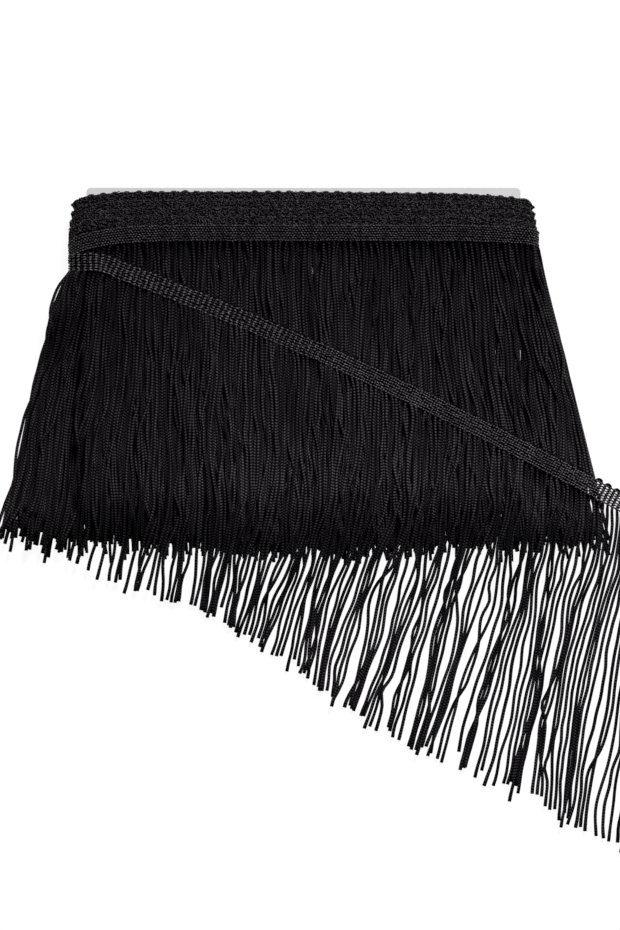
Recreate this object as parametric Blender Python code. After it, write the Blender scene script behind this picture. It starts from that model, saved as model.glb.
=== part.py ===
"""Black chainette fringe trim wound on a flat white card, with its loose end laid across the front.

The bundle lies on its back. +X runs along the heading, +Y points from the fringe's tips up to the
heading, and +Z points up from the surface. The origin is on the surface, under the card's centre.
All lengths are in metres.
"""

import math

import bmesh
import bpy

# ---- Driving dimensions ------------------------------------------------------------------------
GAP = 0.0003  # between pieces that touch

CARD_WIDTH = 0.217
CARD_HEIGHT = 0.156
CARD_THICKNESS = 0.002

TURNS = 5  # turns of trim round the card
TURN_THICKNESS = 0.0016  # one layer of heading
TURN_DROP = 0.0042  # each turn lies this much lower than the one inside it
HEADING_HEIGHT = 0.0085
FIRST_TURN_TOP = 0.076
CORNER_STEPS = 4  # faces round each corner of the wound heading

STRAND_LENGTH = 0.150
STRAND_THICKNESS = 0.0014
RAGGED = 0.0045  # how far the tips are uneven
WOUND_TEETH = 26  # on each face
WOUND_SHARE = 0.80  # of the pitch that a tooth takes
SIDE_STEPS = 4  # faces round each side of the wound fringe

LOOSE_THICKNESS = 0.0015
LOOSE_WIDTH = 0.0092  # of the loose heading, scallops included
LOOSE_STEPS = 40
EDGE_STEPS = 6  # faces where the loose heading comes round the left side
LOOSE_TEETH = 48
TOOTH_STEPS = 10
ROOT_DROPS = (0.0, 0.005, 0.010)  # the unbroken root of the loose comb
ROOT_SHARE = 0.74  # of the pitch that a tooth takes at its root
TIP_SHARE = 0.62

# The loose heading's centre line: y falls as x grows, a little faster to the right.
LOOSE_RIGHT = 0.206
LINE_START = -0.0011  # y at x = 0
LINE_SLOPE = 0.440
LINE_BEND = 0.33  # per metre

# The loose strands lean towards -X, more and more up to LEAN_FULL.
LEAN_LEFT = math.radians(3.0)
LEAN_RIGHT = math.radians(17.0)
LEAN_FULL = 0.058

DRAPE_CLEARANCE = 0.002  # between the bundle and what is laid over it
DRAPE_EDGE = 0.001  # how far past the bundle it starts to come down
DRAPE_RUN = 0.030  # distance in which it reaches the surface

# ---- Levels and places worked out from these ---------------------------------------------------
BUILD_UP = TURNS * TURN_THICKNESS
CARD_BOTTOM = BUILD_UP + GAP
CARD_TOP = CARD_BOTTOM + CARD_THICKNESS
CARD_MIDDLE = (CARD_BOTTOM + CARD_TOP) / 2
POCKET_EDGE = CARD_WIDTH / 2 + GAP
POCKET_LOW = CARD_BOTTOM - GAP
POCKET_HIGH = CARD_TOP + GAP
LAST_TURN_TOP = FIRST_TURN_TOP - (TURNS - 1) * TURN_DROP
HEADING_FOOT = LAST_TURN_TOP - HEADING_HEIGHT
INNER_FOOT = FIRST_TURN_TOP - HEADING_HEIGHT

# The wound fringe by its drop below the heading: half of the width over its fanned-out sides, and
# the height of its front face. Its back face lies on the surface.
FRINGE_SECTIONS = [
    {"drop": 0.000, "half_width": 0.1145, "top": 0.0172},
    {"drop": 0.010, "half_width": 0.1155, "top": 0.0176},
    {"drop": 0.024, "half_width": 0.1235, "top": 0.0178},
    {"drop": 0.048, "half_width": 0.1305, "top": 0.0174},
    {"drop": 0.078, "half_width": 0.1365, "top": 0.0168},
    {"drop": 0.106, "half_width": 0.1425, "top": 0.0160},
    {"drop": 0.130, "half_width": 0.1470, "top": 0.0146},
    {"drop": 0.141, "half_width": 0.1490, "top": 0.0134},
    {"drop": 0.150, "half_width": 0.1500, "top": 0.0120},
]
SLIT_FROM = 0.130  # the drop where the wound comb's slits begin
SIDE_WALL = 0.002  # cloth left round the pocket at the sides
PINCH = 0.0004  # half of the space between front and back layers beside the card
PINCHED_FROM = POCKET_EDGE + 0.016  # how far from the middle the pocket has closed to that

BLACK_HEADING = (0.018, 0.017, 0.019)
BLACK_STRAND = (0.012, 0.011, 0.013)
WHITE_BOARD = (0.78, 0.78, 0.77)


def clear_scene():
    for item in list(bpy.data.objects):
        bpy.data.objects.remove(item, do_unlink=True)


def new_material(name, colour, roughness):
    material = bpy.data.materials.new(name)
    material.use_nodes = True
    shader = material.node_tree.nodes["Principled BSDF"]
    shader.inputs["Base Color"].default_value = (*colour, 1.0)
    shader.inputs["Roughness"].default_value = roughness
    shader.inputs["Metallic"].default_value = 0.0
    return material


def add_solid(name, points, faces, material):
    """A closed body from points and faces, its loose and doubled points taken out."""
    mesh = bpy.data.meshes.new(name)
    mesh.from_pydata(points, [], faces)
    body = bmesh.new()
    body.from_mesh(mesh)
    loose = [v for v in body.verts if not v.link_faces]
    bmesh.ops.delete(body, geom=loose, context="VERTS")
    bmesh.ops.remove_doubles(body, verts=body.verts[:], dist=0.00001)
    bmesh.ops.dissolve_degenerate(body, edges=body.edges[:], dist=0.00001)
    bmesh.ops.triangulate(body, faces=body.faces[:])
    bmesh.ops.recalc_face_normals(body, faces=body.faces[:])
    body.to_mesh(mesh)
    body.free()
    mesh.materials.append(material)
    item = bpy.data.objects.new(name, mesh)
    bpy.context.scene.collection.objects.link(item)


def sheet_faces(outer, inner, is_filled, closed):
    """Points and faces of a thick sheet between two grids of points, with walls at its edges.

    outer and inner are rows of points. is_filled(row, column) says which cells are cloth, so the
    others are slits. closed joins the last column to the first.
    """
    rows, columns = len(outer), len(outer[0])
    cell_columns = columns if closed else columns - 1
    points = [point for grid in (outer, inner) for line in grid for point in line]

    def is_cloth(row, column):
        if closed:
            column %= columns
        return 0 <= row < rows - 1 and 0 <= column < cell_columns and is_filled(row, column)

    def index(layer, row, column):
        return (layer * rows + row) * columns + column % columns

    faces = []
    for row in range(rows - 1):
        for column in range(cell_columns):
            if not is_cloth(row, column):
                continue
            corners = [(row, column), (row, column + 1), (row + 1, column + 1), (row + 1, column)]
            beyond = [(row - 1, column), (row, column + 1), (row + 1, column), (row, column - 1)]
            faces.append([index(0, *corner) for corner in corners])
            faces.append([index(1, *corner) for corner in reversed(corners)])
            for k, neighbour in enumerate(beyond):
                if not is_cloth(*neighbour):
                    a, b = corners[k], corners[(k + 1) % 4]
                    faces.append([index(0, *b), index(0, *a), index(1, *a), index(1, *b)])
    return points, faces


def between(low, high, share):
    return low + (high - low) * share


def clamp(share):
    return min(max(share, 0.0), 1.0)


def smooth_step(share):
    share = clamp(share)
    return share * share * (3.0 - 2.0 * share)


def tooth_edges(count, tooth_share):
    """Places from 0 to 1 of both sides of each of count teeth, with slits between the teeth."""
    half_slit = (1.0 - tooth_share) / 2
    edges = []
    for tooth in range(count):
        edges += [(tooth + half_slit) / count, (tooth + 1 - half_slit) / count]
    edges[0], edges[-1] = 0.0, 1.0
    return edges


def unevenness(tooth):
    """How far down a tooth's tip reaches, from -1 to 1, with no repeat that shows."""
    return 0.6 * math.sin(2.4 * tooth + 0.7) + 0.4 * math.sin(5.3 * tooth)


# ---- The card ----------------------------------------------------------------------------------
def make_card():
    """A flat board. Its upper edge stands a little out above the heading."""
    half_x, half_y = CARD_WIDTH / 2, CARD_HEIGHT / 2
    outline = [(-half_x, -half_y), (half_x, -half_y), (half_x, half_y), (-half_x, half_y)]
    points = [(x, y, z) for z in (CARD_BOTTOM, CARD_TOP) for x, y in outline]
    faces = [[3, 2, 1, 0], [4, 5, 6, 7]]
    faces += [[k, (k + 1) % 4, 4 + (k + 1) % 4, 4 + k] for k in range(4)]
    add_solid("card", points, faces, new_material("white_board", WHITE_BOARD, 0.6))


# ---- The wound heading -------------------------------------------------------------------------
def heading_profile():
    """The shingled turns cut across, as steps of (distance out from the card, y)."""
    profile = []
    for turn in range(TURNS):
        top = FIRST_TURN_TOP - turn * TURN_DROP
        profile.append((turn * TURN_THICKNESS, top))
        profile.append(((turn + 1) * TURN_THICKNESS, top))
    for turn in reversed(range(TURNS)):
        foot = INNER_FOOT - turn * TURN_DROP
        profile.append(((turn + 1) * TURN_THICKNESS, foot))
        profile.append((turn * TURN_THICKNESS, foot))
    return profile


def make_wound_heading(material):
    """The turns of heading as one stepped ring, rounded where it goes round the card's sides."""
    corners = [
        (POCKET_EDGE, POCKET_HIGH, 0.0),
        (-POCKET_EDGE, POCKET_HIGH, math.pi / 2),
        (-POCKET_EDGE, POCKET_LOW, math.pi),
        (POCKET_EDGE, POCKET_LOW, 3 * math.pi / 2),
    ]
    profile = heading_profile()
    points = []
    for x, z, first in corners:
        for step in range(CORNER_STEPS + 1):
            angle = first + math.pi / 2 * step / CORNER_STEPS
            points += [
                (x + out * math.cos(angle), y, z + out * math.sin(angle)) for out, y in profile
            ]
    size = len(profile)
    faces = []
    for start in range(0, len(points), size):
        following = (start + size) % len(points)
        for k in range(size):
            after = (k + 1) % size
            faces.append([start + k, start + after, following + after, following + k])
    add_solid("wound_heading", points, faces, material)


# ---- The wound fringe --------------------------------------------------------------------------
def section_value(drop, column):
    """A column of FRINGE_SECTIONS at this drop, straight between its rows."""
    upper = FRINGE_SECTIONS[0]
    for lower in FRINGE_SECTIONS[1:]:
        if drop <= lower["drop"]:
            share = clamp((drop - upper["drop"]) / (lower["drop"] - upper["drop"]))
            return between(upper[column], lower[column], share)
        upper = lower
    return upper[column]


def outer_loop(half_width, low, top, edges):
    """Points (x, z) round the sleeve: front to the right, right side, back, left side."""
    radius, middle = (top - low) / 2, (top + low) / 2
    flat = half_width - radius
    front = [((2 * edge - 1) * flat, top) for edge in edges]
    side = []
    for step in range(1, SIDE_STEPS):
        angle = math.pi / 2 - math.pi * step / SIDE_STEPS
        side.append((flat + radius * math.cos(angle), middle + radius * math.sin(angle)))
    back = [(x, low) for x, _ in reversed(front)]
    return front + side + back + [(-x, z) for x, z in reversed(side)]


def pocket_loop(reach, edges):
    """The same round the pocket that holds the card, nearly closed beside the card."""
    front = []
    for edge in edges:
        x = (2 * edge - 1) * reach
        front.append((x, POCKET_HIGH if abs(x) <= PINCHED_FROM else CARD_MIDDLE + PINCH))
    side = []
    for step in range(1, SIDE_STEPS):
        angle = math.pi / 2 - math.pi * step / SIDE_STEPS
        side.append((reach + PINCH * math.cos(angle), CARD_MIDDLE + PINCH * math.sin(angle)))
    back = [(x, 2 * CARD_MIDDLE - z) for x, z in reversed(front)]
    return front + side + back + [(-x, z) for x, z in reversed(side)]


def make_wound_fringe(material):
    """All the turns of strands as one sleeve round the card, a comb along its lower edge."""
    edges = tooth_edges(WOUND_TEETH, WOUND_SHARE)
    front_cells = len(edges) - 1
    teeth = [k // 2 for k in range(len(edges))]
    side_teeth = [WOUND_TEETH] * (SIDE_STEPS - 1)
    teeth = teeth + side_teeth + teeth[::-1] + side_teeth

    # The crown, behind the last turn's foot: it reaches up under the inner turns.
    crown = FRINGE_SECTIONS[0]
    crown_y = HEADING_FOOT - GAP
    crown_loop = outer_loop(
        crown["half_width"] - TURN_THICKNESS, TURN_THICKNESS, crown["top"] - TURN_THICKNESS, edges
    )
    outer = [[(x, crown_y, z) for x, z in crown_loop]]
    inner = [[(x, INNER_FOOT - 2 * GAP, z) for x, z in pocket_loop(POCKET_EDGE, edges)]]
    for section in FRINGE_SECTIONS:
        y = crown_y - section["drop"]
        ragged = RAGGED if section is FRINGE_SECTIONS[-1] else 0.0
        reach = max(POCKET_EDGE, section["half_width"] - section["top"] / 2 - SIDE_WALL)
        levels = [y + ragged * unevenness(tooth) for tooth in teeth]
        outside = outer_loop(section["half_width"], 0.0, section["top"], edges)
        inside = pocket_loop(reach, edges)
        outer.append([(x, level, z) for (x, z), level in zip(outside, levels)])
        inner.append([(x, level, z) for (x, z), level in zip(inside, levels)])

    first_slit_row = 1 + [row["drop"] for row in FRINGE_SECTIONS].index(SLIT_FROM)
    back_from = front_cells + SIDE_STEPS

    def is_filled(row, column):
        if row < first_slit_row:
            return True
        on_front = column < front_cells and column % 2 == 1
        on_back = 0 <= column - back_from < front_cells and (column - back_from) % 2 == 1
        return not (on_front or on_back)

    points, faces = sheet_faces(outer, inner, is_filled, closed=True)
    add_solid("wound_fringe", points, faces, material)


# ---- The loose end -----------------------------------------------------------------------------
def line_y(x):
    """The loose heading's centre line."""
    return LINE_START - LINE_SLOPE * x - LINE_BEND * x * x


def line_side(x):
    """Unit vector in plan, square to that line and pointing to its strands."""
    slope = -LINE_SLOPE - 2 * LINE_BEND * x
    length = math.hypot(1.0, slope)
    return slope / length, -1.0 / length


def drape_height(x, y):
    """Underside of what is laid over the bundle: its front face, then down to the surface."""
    drop = HEADING_FOOT - y
    past_side = abs(x) - section_value(drop, "half_width")
    past_tips = drop - STRAND_LENGTH - RAGGED
    share = 1.0 - smooth_step((max(past_side, past_tips) - DRAPE_EDGE) / DRAPE_RUN)
    return share * (section_value(drop, "top") + DRAPE_CLEARANCE)


EDGE_RADIUS = FRINGE_SECTIONS[1]["top"] / 2 + DRAPE_CLEARANCE / 2  # under the heading's bend
LOOSE_LEFT = EDGE_RADIUS - FRINGE_SECTIONS[1]["half_width"] - DRAPE_CLEARANCE  # where it ends
EDGE_ANGLES = (math.radians(225), math.radians(90))


def make_loose_heading(material):
    """The heading of the loose end: up round the left side, then across and off to the right."""
    half = LOOSE_WIDTH / 2
    shift = LOOSE_THICKNESS / 2
    left_height = drape_height(LOOSE_LEFT, line_y(LOOSE_LEFT))
    centre_z = left_height - EDGE_RADIUS
    outer, inner = [], []
    for step in range(EDGE_STEPS):
        angle = between(*EDGE_ANGLES, step / EDGE_STEPS)
        out_x, out_z = math.cos(angle), math.sin(angle)
        x = LOOSE_LEFT + (EDGE_RADIUS + shift) * out_x
        z = centre_z + (EDGE_RADIUS + shift) * out_z
        y = line_y(LOOSE_LEFT)
        outer.append([(x + shift * out_x, y + side, z + shift * out_z) for side in (half, -half)])
        inner.append([(x - shift * out_x, y + side, z - shift * out_z) for side in (half, -half)])
    for step in range(LOOSE_STEPS + 1):
        x = between(LOOSE_LEFT, LOOSE_RIGHT, step / LOOSE_STEPS)
        side_x, side_y = line_side(x)
        # Square to the edge of the bundle where it comes up, then square to its own line.
        turned = smooth_step(step * 4 / LOOSE_STEPS)
        ends = []
        for side in (-half, half):
            px = x + side * side_x * turned
            py = line_y(x) + side * between(-1.0, side_y, turned)
            ends.append((px, py, drape_height(px, py)))
        inner.append(ends)
        outer.append([(px, py, z + LOOSE_THICKNESS) for px, py, z in ends])
    points, faces = sheet_faces(outer, inner, lambda row, column: True, closed=False)
    add_solid("loose_heading", points, faces, material)


def make_loose_fringe(material):
    """The strands of the loose end, as one comb over the bundle and down onto the surface."""
    root_edges = tooth_edges(LOOSE_TEETH, ROOT_SHARE)
    tip_edges = tooth_edges(LOOSE_TEETH, TIP_SHARE)
    root = ROOT_DROPS[-1]
    drops = list(ROOT_DROPS)
    drops += [
        between(root, STRAND_LENGTH, step / TOOTH_STEPS) for step in range(1, TOOTH_STEPS + 1)
    ]
    left = LOOSE_LEFT + (LOOSE_RIGHT - LOOSE_LEFT) / LOOSE_STEPS
    outer, inner = [], []
    for drop in drops:
        ragged = RAGGED if drop == drops[-1] else 0.0
        line = []
        for k, (root_edge, tip_edge) in enumerate(zip(root_edges, tip_edges)):
            x = between(left, LOOSE_RIGHT, between(root_edge, tip_edge, drop / STRAND_LENGTH))
            side_x, side_y = line_side(x)
            start = LOOSE_WIDTH / 2 + GAP
            lean = between(LEAN_LEFT, LEAN_RIGHT, clamp((x - left) / (LEAN_FULL - left)))
            reach = drop + ragged * unevenness(k // 2)
            px = x + start * side_x - reach * math.sin(lean)
            py = line_y(x) + start * side_y - reach * math.cos(lean)
            line.append((px, py, drape_height(px, py)))
        inner.append(line)
        outer.append([(px, py, z + STRAND_THICKNESS) for px, py, z in line])

    def is_filled(row, column):
        return row < len(ROOT_DROPS) - 1 or column % 2 == 0

    points, faces = sheet_faces(outer, inner, is_filled, closed=False)
    add_solid("loose_fringe", points, faces, material)


clear_scene()
heading_material = new_material("black_heading", BLACK_HEADING, 0.55)
strand_material = new_material("black_strand", BLACK_STRAND, 0.6)
make_card()
make_wound_heading(heading_material)
make_wound_fringe(strand_material)
make_loose_heading(heading_material)
make_loose_fringe(strand_material)
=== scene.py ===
"""A black chain fringe trim wound on a flat white card and laid on its back, its loose end across it.

The pieces follow the object as it is put together: the card, five turns of heading from the inside
out, their cords, and the loose end with its cords. Lengths are in metres: +X runs along the heading,
+Y from the cords' tips up to it, and +Z up from the surface.
"""

import math

import bpy
import numpy as np
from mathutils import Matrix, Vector


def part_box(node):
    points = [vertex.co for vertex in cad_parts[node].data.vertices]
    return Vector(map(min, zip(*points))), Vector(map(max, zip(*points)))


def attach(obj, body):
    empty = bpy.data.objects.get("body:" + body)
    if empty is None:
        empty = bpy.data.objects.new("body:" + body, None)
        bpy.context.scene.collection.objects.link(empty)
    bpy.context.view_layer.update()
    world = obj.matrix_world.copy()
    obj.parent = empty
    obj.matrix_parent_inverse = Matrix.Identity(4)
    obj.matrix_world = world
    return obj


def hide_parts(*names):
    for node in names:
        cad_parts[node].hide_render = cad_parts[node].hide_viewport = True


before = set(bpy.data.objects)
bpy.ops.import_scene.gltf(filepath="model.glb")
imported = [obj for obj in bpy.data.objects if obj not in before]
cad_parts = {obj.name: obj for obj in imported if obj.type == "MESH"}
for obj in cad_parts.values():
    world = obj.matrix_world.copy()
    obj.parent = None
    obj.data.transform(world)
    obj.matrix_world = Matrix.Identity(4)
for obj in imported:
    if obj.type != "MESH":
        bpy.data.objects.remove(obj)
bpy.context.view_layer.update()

# ---- Surface, light and camera -------------------------------------
# The trim lies on a lit white table, which takes next to no shadow. A soft lamp stands past the
# heading and a little to the right, high enough to shine along the cords. The camera looks down.
VIEW_HEIGHT = 0.465  # what the picture takes in from top to bottom, at the bundle's middle height
VIEW_CENTRE = (0.0032, -0.0608)
VIEW_LEVEL = 0.010
LENS, SENSOR = 120.0, 36.0


def new_finish(name, colour, roughness, specular):
    """A material and its Principled shader, with the values that are the same all over."""
    finish = bpy.data.materials.new(name)
    finish.use_nodes = True
    shader = finish.node_tree.nodes["Principled BSDF"]
    shader.inputs["Base Color"].default_value = (*colour, 1.0)
    shader.inputs["Roughness"].default_value = roughness
    shader.inputs["Specular IOR Level"].default_value = specular
    return finish, shader


bpy.ops.mesh.primitive_plane_add(size=6.0, location=(0.0, 0.0, -0.0001))
table = bpy.context.object
table.name = "white_table"
table_finish, table_shader = new_finish("lit white table", (0.10, 0.10, 0.10), 0.9, 0.1)
table_shader.inputs["Emission Color"].default_value = (1.0, 1.0, 1.0, 1.0)
table_shader.inputs["Emission Strength"].default_value = 0.94
table_finish.cycles.emission_sampling = "NONE"  # a large pale area, so that it adds no grain
table.data.materials.append(table_finish)


def connect(tree, *pairs):
    """Link each pair of sockets: from an output to an input."""
    for start, end in pairs:
        tree.links.new(start, end)


def add_object(name, data):
    """An object in the scene that holds a lamp, a camera or a mesh."""
    item = bpy.data.objects.new(name, data)
    bpy.context.scene.collection.objects.link(item)
    return item


world = bpy.data.worlds.new("soft white")
bpy.context.scene.world = world
world.use_nodes = True
room = world.node_tree
room.nodes["Background"].inputs["Strength"].default_value = 0.02
backdrop = room.nodes.new("ShaderNodeBackground")
seen = room.nodes.new("ShaderNodeMixShader")
for socket in (room.nodes["Background"].inputs["Color"], backdrop.inputs["Color"]):
    socket.default_value = (1.0, 1.0, 1.0, 1.0)
connect(
    room,
    (room.nodes.new("ShaderNodeLightPath").outputs["Is Camera Ray"], seen.inputs[0]),
    (room.nodes["Background"].outputs[0], seen.inputs[1]),
    (backdrop.outputs[0], seen.inputs[2]),
    (seen.outputs[0], room.nodes["World Output"].inputs["Surface"]),
)

LAMP = Vector((0.75, 2.0, 1.85))
lamp_data = bpy.data.lights.new("lamp", "AREA")
lamp_data.size = 0.8
lamp_data.energy = 108.0
lamp = add_object("lamp", lamp_data)
lamp.location = LAMP
lamp.rotation_mode = "QUATERNION"
lamp.rotation_quaternion = (Vector((0.0, -0.04, 0.0)) - LAMP).to_track_quat("-Z", "Y")

bpy.context.scene.view_settings.view_transform = "Standard"

camera_data = bpy.data.cameras.new("camera")
camera_data.lens = LENS
camera_data.sensor_width = SENSOR
camera = add_object("camera", camera_data)
camera.location = (*VIEW_CENTRE, VIEW_LEVEL + VIEW_HEIGHT * LENS / SENSOR)
bpy.context.scene.camera = camera

# ---- The card ------------------------------------------------------
# A flat white board with slightly rounded corners, which the trim is wound on. Only its upper edge
# shows, above the heading. Its paper has a faint tooth and a few duller patches.
card_low, card_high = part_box("card")
CORNER = 0.0022
EASED = 0.00025  # how far the cut edges are bevelled


def add_node(tree, kind, values=(), **settings):
    """A shader node with its settings, and the values of its inputs by name or number."""
    item = tree.nodes.new(kind)
    for key, value in settings.items():
        setattr(item, key, value)
    for key, value in dict(values).items():
        item.inputs[key].default_value = value
    return item


def add_ramp(tree, *stops):
    """A colour ramp node, from where each of its stops is and its colour."""
    ramp = add_node(tree, "ShaderNodeValToRGB")
    elements = ramp.color_ramp.elements
    elements.remove(elements[1])
    for number, (place, colour) in enumerate(stops):
        stop = elements.new(place) if number else elements[0]
        stop.position = place
        stop.color = (*colour, 1.0)
    return ramp


def add_piece(name, finish, points, faces, uvs=None, smooth=True):
    """An object from points, faces and one UV pair for each corner of each face."""
    mesh = bpy.data.meshes.new(name)
    mesh.from_pydata(points, [], faces)
    if uvs is not None:
        mesh.uv_layers.new(name="Yarn").data.foreach_set("uv", np.ravel(uvs))
    if smooth:
        mesh.shade_smooth()
    mesh.materials.append(finish)
    return add_object(name, mesh)


board_finish, board_shader = new_finish("white board", (0.62, 0.62, 0.62), 0.7, 0.3)
board_tree = board_finish.node_tree
board_place = add_node(board_tree, "ShaderNodeTexCoord")
board_tooth = add_node(board_tree, "ShaderNodeTexNoise", {"Scale": 900.0, "Detail": 4.0})
board_clouds = add_node(board_tree, "ShaderNodeTexNoise", {"Scale": 60.0, "Detail": 3.0})
board_tint = add_ramp(board_tree, (0.0, (0.61, 0.60, 0.605)), (1.0, (0.71, 0.70, 0.705)))
board_bump = add_node(board_tree, "ShaderNodeBump", {"Strength": 0.25, "Distance": 0.0001})
connect(
    board_tree,
    (board_place.outputs["Object"], board_tooth.inputs["Vector"]),
    (board_place.outputs["Object"], board_clouds.inputs["Vector"]),
    (board_clouds.outputs["Fac"], board_tint.inputs["Fac"]),
    (board_tint.outputs["Color"], board_shader.inputs["Base Color"]),
    (board_tooth.outputs["Fac"], board_bump.inputs["Height"]),
    (board_bump.outputs["Normal"], board_shader.inputs["Normal"]),
)


def rounded_outline(low, high, radius, steps=5):
    """Points round a rectangle with rounded corners, anticlockwise."""
    outline = []
    for x, y, quarter in (
        (high[0] - radius, high[1] - radius, 0),
        (low[0] + radius, high[1] - radius, 1),
        (low[0] + radius, low[1] + radius, 2),
        (high[0] - radius, low[1] + radius, 3),
    ):
        for step in range(steps + 1):
            angle = math.pi / 2 * (quarter + step / steps)
            outline.append((x + radius * math.cos(angle), y + radius * math.sin(angle)))
    return outline


def ring_quads(rings, size, closed=False):
    """The faces between rings of points, each joined to the next."""
    faces = []
    for ring in range(rings if closed else rings - 1):
        here, beyond = ring * size, (ring + 1) % rings * size
        for k in range(size):
            after = (k + 1) % size
            faces.append((here + k, here + after, beyond + after, beyond + k))
    return faces


board_rings = []
for inset, z in (
    (EASED, card_low[2]),
    (0.0, card_low[2] + EASED),
    (0.0, card_high[2] - EASED),
    (EASED, card_high[2]),
):
    ring_low = (card_low[0] + inset, card_low[1] + inset)
    ring_high = (card_high[0] - inset, card_high[1] - inset)
    board_rings.append([(x, y, z) for x, y in rounded_outline(ring_low, ring_high, CORNER)])
rim = len(board_rings[0])
board_faces = [range(rim)[::-1], range(3 * rim, 4 * rim)] + ring_quads(4, rim)
board = add_piece("backing_board", board_finish, [point for ring in board_rings for point in ring],
                  board_faces, smooth=False)
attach(board, "root")
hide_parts("card")

# ---- The heading's yarn --------------------------------------------
# The heading is crocheted from black rayon. Each cord runs up across it and down again in the next
# rib, and rows of chain stitch bind the ribs. A stitch is a bundle of plies that shines along it.
rng = np.random.default_rng(11)


def maths(tree, operation, *operands):
    """A Math node fed by sockets or plain numbers. Returns its output."""
    item = add_node(tree, "ShaderNodeMath", operation=operation)
    for k, operand in enumerate(operands):
        if isinstance(operand, (int, float)):
            item.inputs[k].default_value = operand
        else:
            tree.links.new(operand, item.inputs[k])
    return item.outputs[0]


def ridges(tree, place):
    """Round ridges along a place, one unit wide, with sharp valleys between them."""
    return maths(tree, "ABSOLUTE", maths(tree, "SINE", maths(tree, "MULTIPLY", place, math.pi)))


def new_group(name, inputs, outputs):
    """An empty node group with float sockets. Returns it with its input and output nodes."""
    group = bpy.data.node_groups.new(name, "ShaderNodeTree")
    for names, in_out in ((inputs, "INPUT"), (outputs, "OUTPUT")):
        for socket in names:
            group.interface.new_socket(name=socket, in_out=in_out, socket_type="NodeSocketFloat")
    return group, add_node(group, "NodeGroupInput"), add_node(group, "NodeGroupOutput")


# The plies' Shade output dims the colour in the grooves between plies and towards each stitch's ends,
# as painted shade; the same mask makes the lit parts glossier.
plies, plies_in, plies_out = new_group(
    "yarn plies", ("Along", "Round", "Plies", "Twist"), ("Height", "Shade", "Roughness")
)
ply_round = maths(plies, "MULTIPLY", plies_in.outputs["Round"], plies_in.outputs["Plies"])
ply_twist = maths(plies, "MULTIPLY", plies_in.outputs["Along"], plies_in.outputs["Twist"])
ply_ridge = ridges(plies, maths(plies, "ADD", ply_round, ply_twist))
ply_shade = maths(plies, "MULTIPLY_ADD", ply_ridge, 0.6, 0.4)
lit_part = maths(plies, "MULTIPLY", ply_shade, ridges(plies, plies_in.outputs["Along"]))
connect(
    plies,
    (maths(plies, "POWER", ply_ridge, 0.6), plies_out.inputs["Height"]),
    (lit_part, plies_out.inputs["Shade"]),
    (maths(plies, "MULTIPLY_ADD", lit_part, -0.60, 0.90), plies_out.inputs["Roughness"]),
)


def yarn_finish(name, dark, light, specular, pattern, values, strength, depth):
    """A black yarn whose tone drifts between two blacks, with painted shade where its pattern is
    hollow.

    The pattern is a node group with its values, and its bump has a strength and a depth.
    """
    finish, shader = new_finish(name, dark, 0.5, specular)
    shader.inputs["Specular Tint"].default_value = (1.0, 0.90, 1.04, 1.0)
    tree = finish.node_tree
    uv = add_node(tree, "ShaderNodeUVMap", uv_map="Yarn")
    split = add_node(tree, "ShaderNodeSeparateXYZ")
    where = add_node(tree, "ShaderNodeTexCoord")
    drawn_out = add_node(tree, "ShaderNodeMapping", {"Scale": (700.0, 45.0, 700.0)})
    drift = add_node(tree, "ShaderNodeTexNoise", {"Scale": 1.0, "Detail": 3.0})
    tones = add_ramp(tree, (0.35, dark), (0.7, light))
    shade = add_node(tree, "ShaderNodeMix", {"Factor": 1.0}, data_type="RGBA", blend_type="MULTIPLY")
    strands = add_node(tree, "ShaderNodeGroup", values, node_tree=pattern)
    bump = add_node(tree, "ShaderNodeBump", {"Strength": strength, "Distance": depth})
    connect(
        tree,
        (uv.outputs["UV"], split.inputs["Vector"]),
        (split.outputs["X"], strands.inputs["Round"]),
        (split.outputs["Y"], strands.inputs["Along"]),
        (where.outputs["Object"], drawn_out.inputs["Vector"]),
        (drawn_out.outputs["Vector"], drift.inputs["Vector"]),
        (drift.outputs["Fac"], tones.inputs["Fac"]),
        (tones.outputs["Color"], shade.inputs["A"]),
        (strands.outputs["Shade"], shade.inputs["B"]),
        (shade.outputs["Result"], shader.inputs["Base Color"]),
        (strands.outputs["Roughness"], shader.inputs["Roughness"]),
        (strands.outputs["Height"], bump.inputs["Height"]),
        (bump.outputs["Normal"], shader.inputs["Normal"]),
    )
    return finish, tree, shade


def stitches_yarn(name, dark, light, specular):
    """A yarn finish of plies that twist round each other, for stitches and ribs."""
    twisted = {"Plies": 6.0, "Twist": 2.0}
    return yarn_finish(name, dark, light, specular, plies, twisted, 0.5, 0.00010)[0]


stitch_finish = stitches_yarn("black stitches", (0.040, 0.035, 0.042), (0.140, 0.122, 0.147), 0.32)
# A copy of the stitch yarn for the slack stitches: less glossy, and its deeper black is painted shade.
shaded_slack_finish = stitches_yarn("dull black stitches in painted shade", (0.021, 0.018, 0.022), (0.114, 0.099, 0.119), 0.22)
# The ribs' yarn is nearly black: painted shade on the ground between and under the stitches.
shaded_ground_finish = stitches_yarn("black ribs in painted shade", (0.002, 0.0018, 0.002), (0.005, 0.0045, 0.005), 0.05)

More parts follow.
